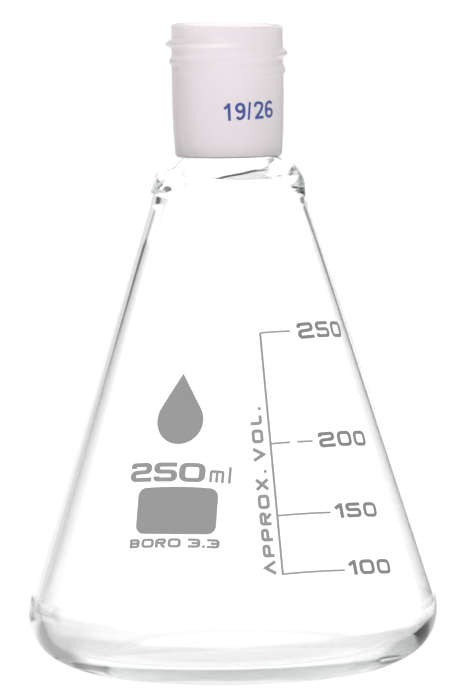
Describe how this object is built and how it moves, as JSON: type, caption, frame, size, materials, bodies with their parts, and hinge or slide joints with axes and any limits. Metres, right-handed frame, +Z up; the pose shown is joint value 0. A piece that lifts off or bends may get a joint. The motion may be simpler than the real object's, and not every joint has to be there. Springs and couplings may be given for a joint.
{
  "type": "erlenmeyer flask",
  "caption": "Conical laboratory flask with a heavy rounded heel, a ground tapered socket in the neck, an outside screw thread and a fired volume scale.",
  "frame": {"origin": "centre of the foot, on the table", "axes": "+Z up the axis of the flask to the mouth; the prints face -Y, the volume scale lies towards +X"},
  "size_m": [0.085, 0.085, 0.1342],
  "materials": {
    "clear_glass": "clear blown borosilicate glass",
    "ground_glass": "ground, frosted",
    "grey_enamel": "opaque fired enamel, satin",
    "blue_enamel": "opaque fired enamel, satin"
  },
  "bodies": {
    "root": {"flask_body": "clear_glass", "socket_neck": "ground_glass", "writing_patch": "grey_enamel", "drop_mark": "grey_enamel", "capacity_print": "grey_enamel", "glass_type_print": "grey_enamel", "volume_scale": "grey_enamel", "numeral_100": "grey_enamel", "numeral_150": "grey_enamel", "numeral_200": "grey_enamel", "numeral_250": "grey_enamel", "scale_caption": "grey_enamel", "joint_size_print": "blue_enamel"}
  },
  "joints": []
}
